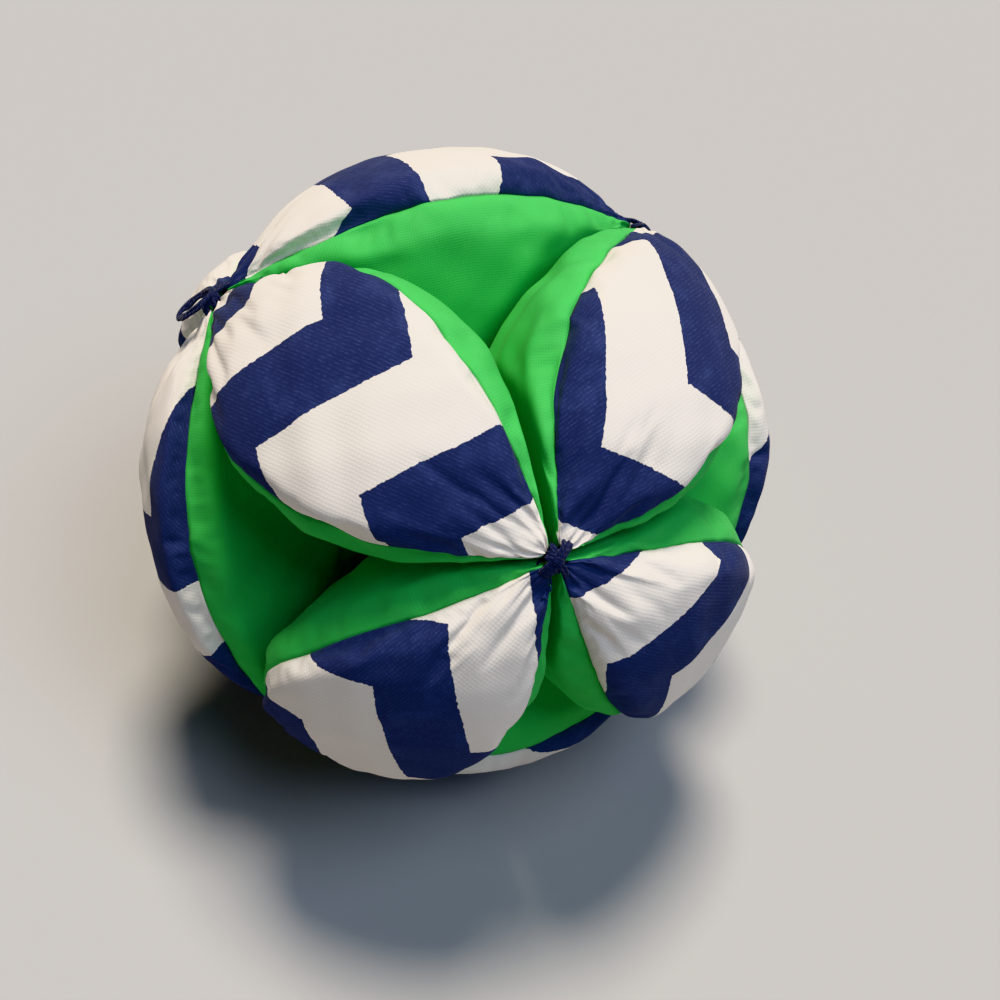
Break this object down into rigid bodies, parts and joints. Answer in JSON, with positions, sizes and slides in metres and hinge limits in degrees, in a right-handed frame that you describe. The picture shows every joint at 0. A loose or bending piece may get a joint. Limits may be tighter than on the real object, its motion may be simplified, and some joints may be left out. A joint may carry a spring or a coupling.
{
  "type": "sewn clutch ball",
  "caption": "Soft sewn juggling and clutch ball of stuffed lens-shaped pods in three interlocked rings, tied at their tips, with three-sided finger hollows between them.",
  "frame": {"origin": "centre of the ball", "axes": "+Z out of the middle of the upper hollow, so that the ball stands on the three pods round the lower hollow; -Y is the front, below the upper front corner"},
  "size_m": [0.1, 0.0974, 0.0946],
  "materials": {
    "printed_cotton": "plain-weave cotton, off-white with navy zigzag stripes printed on it",
    "plain_cotton": "smooth dyed cotton, bright green",
    "polyester_filling": "loose white fibre filling",
    "tie_thread": "waxed navy thread, wound and knotted"
  },
  "bodies": {
    "ties": {"thread_tie_upper_front": "tie_thread", "thread_tie_upper_right": "tie_thread", "thread_tie_upper_left": "tie_thread", "thread_tie_lower_back": "tie_thread", "thread_tie_lower_left": "tie_thread", "thread_tie_lower_right": "tie_thread"},
    "pod_a1": {"pod_a1_printed_panel": "printed_cotton", "pod_a1_side_panel_1": "plain_cotton", "pod_a1_side_panel_2": "plain_cotton", "pod_a1_filling": "polyester_filling"},
    "pod_a2": {"pod_a2_printed_panel": "printed_cotton", "pod_a2_side_panel_1": "plain_cotton", "pod_a2_side_panel_2": "plain_cotton", "pod_a2_filling": "polyester_filling"},
    "pod_a3": {"pod_a3_printed_panel": "printed_cotton", "pod_a3_side_panel_1": "plain_cotton", "pod_a3_side_panel_2": "plain_cotton", "pod_a3_filling": "polyester_filling"},
    "pod_a4": {"pod_a4_printed_panel": "printed_cotton", "pod_a4_side_panel_1": "plain_cotton", "pod_a4_side_panel_2": "plain_cotton", "pod_a4_filling": "polyester_filling"},
    "pod_b1": {"pod_b1_printed_panel": "printed_cotton", "pod_b1_side_panel_1": "plain_cotton", "pod_b1_side_panel_2": "plain_cotton", "pod_b1_filling": "polyester_filling"},
    "pod_b2": {"pod_b2_printed_panel": "printed_cotton", "pod_b2_side_panel_1": "plain_cotton", "pod_b2_side_panel_2": "plain_cotton", "pod_b2_filling": "polyester_filling"},
    "pod_b3": {"pod_b3_printed_panel": "printed_cotton", "pod_b3_side_panel_1": "plain_cotton", "pod_b3_side_panel_2": "plain_cotton", "pod_b3_filling": "polyester_filling"},
    "pod_b4": {"pod_b4_printed_panel": "printed_cotton", "pod_b4_side_panel_1": "plain_cotton", "pod_b4_side_panel_2": "plain_cotton", "pod_b4_filling": "polyester_filling"},
    "pod_c1": {"pod_c1_printed_panel": "printed_cotton", "pod_c1_side_panel_1": "plain_cotton", "pod_c1_side_panel_2": "plain_cotton", "pod_c1_filling": "polyester_filling"},
    "pod_c2": {"pod_c2_printed_panel": "printed_cotton", "pod_c2_side_panel_1": "plain_cotton", "pod_c2_side_panel_2": "plain_cotton", "pod_c2_filling": "polyester_filling"},
    "pod_c3": {"pod_c3_printed_panel": "printed_cotton", "pod_c3_side_panel_1": "plain_cotton", "pod_c3_side_panel_2": "plain_cotton", "pod_c3_filling": "polyester_filling"},
    "pod_c4": {"pod_c4_printed_panel": "printed_cotton", "pod_c4_side_panel_1": "plain_cotton", "pod_c4_side_panel_2": "plain_cotton", "pod_c4_filling": "polyester_filling"}
  },
  "joints": [
    {"name": "pod_a1_rock", "type": "hinge", "parent": "ties", "child": "pod_a1", "pos_m": [0.01662, -0.00959, 0.02714], "axis": [-0.5, -0.866, 0], "range_deg": [-4, 4], "stiffness_Nm_per_rad": 0.5},
    {"name": "pod_a2_rock", "type": "hinge", "parent": "ties", "child": "pod_a2", "pos_m": [0.01662, 0.02878, 0], "axis": [0.5, -0.2887, 0.8165], "range_deg": [-4, 4], "stiffness_Nm_per_rad": 0.5},
    {"name": "pod_a3_rock", "type": "hinge", "parent": "ties", "child": "pod_a3", "pos_m": [-0.01662, 0.00959, -0.02714], "axis": [0.5, 0.866, 0], "range_deg": [-4, 4], "stiffness_Nm_per_rad": 0.5},
    {"name": "pod_a4_rock", "type": "hinge", "parent": "ties", "child": "pod_a4", "pos_m": [-0.01662, -0.02878, 0], "axis": [-0.5, 0.2887, -0.8165], "range_deg": [-4, 4], "stiffness_Nm_per_rad": 0.5},
    {"name": "pod_b1_rock", "type": "hinge", "parent": "ties", "child": "pod_b1", "pos_m": [0, 0.01919, 0.02714], "axis": [1, 0, 0], "range_deg": [-4, 4], "stiffness_Nm_per_rad": 0.5},
    {"name": "pod_b2_rock", "type": "hinge", "parent": "ties", "child": "pod_b2", "pos_m": [-0.03323, 0, 0], "axis": [0, 0.5774, 0.8165], "range_deg": [-4, 4], "stiffness_Nm_per_rad": 0.5},
    {"name": "pod_b3_rock", "type": "hinge", "parent": "ties", "child": "pod_b3", "pos_m": [0, -0.01919, -0.02714], "axis": [-1, 0, 0], "range_deg": [-4, 4], "stiffness_Nm_per_rad": 0.5},
    {"name": "pod_b4_rock", "type": "hinge", "parent": "ties", "child": "pod_b4", "pos_m": [0.03323, 0, 0], "axis": [0, -0.5774, -0.8165], "range_deg": [-4, 4], "stiffness_Nm_per_rad": 0.5},
    {"name": "pod_c1_rock", "type": "hinge", "parent": "ties", "child": "pod_c1", "pos_m": [-0.01662, -0.00959, 0.02714], "axis": [-0.5, 0.866, 0], "range_deg": [-4, 4], "stiffness_Nm_per_rad": 0.5},
    {"name": "pod_c2_rock", "type": "hinge", "parent": "ties", "child": "pod_c2", "pos_m": [0.01662, -0.02878, 0], "axis": [-0.5, -0.2887, 0.8165], "range_deg": [-4, 4], "stiffness_Nm_per_rad": 0.5},
    {"name": "pod_c3_rock", "type": "hinge", "parent": "ties", "child": "pod_c3", "pos_m": [0.01662, 0.00959, -0.02714], "axis": [0.5, -0.866, 0], "range_deg": [-4, 4], "stiffness_Nm_per_rad": 0.5},
    {"name": "pod_c4_rock", "type": "hinge", "parent": "ties", "child": "pod_c4", "pos_m": [-0.01662, 0.02878, 0], "axis": [0.5, 0.2887, -0.8165], "range_deg": [-4, 4], "stiffness_Nm_per_rad": 0.5}
  ]
}
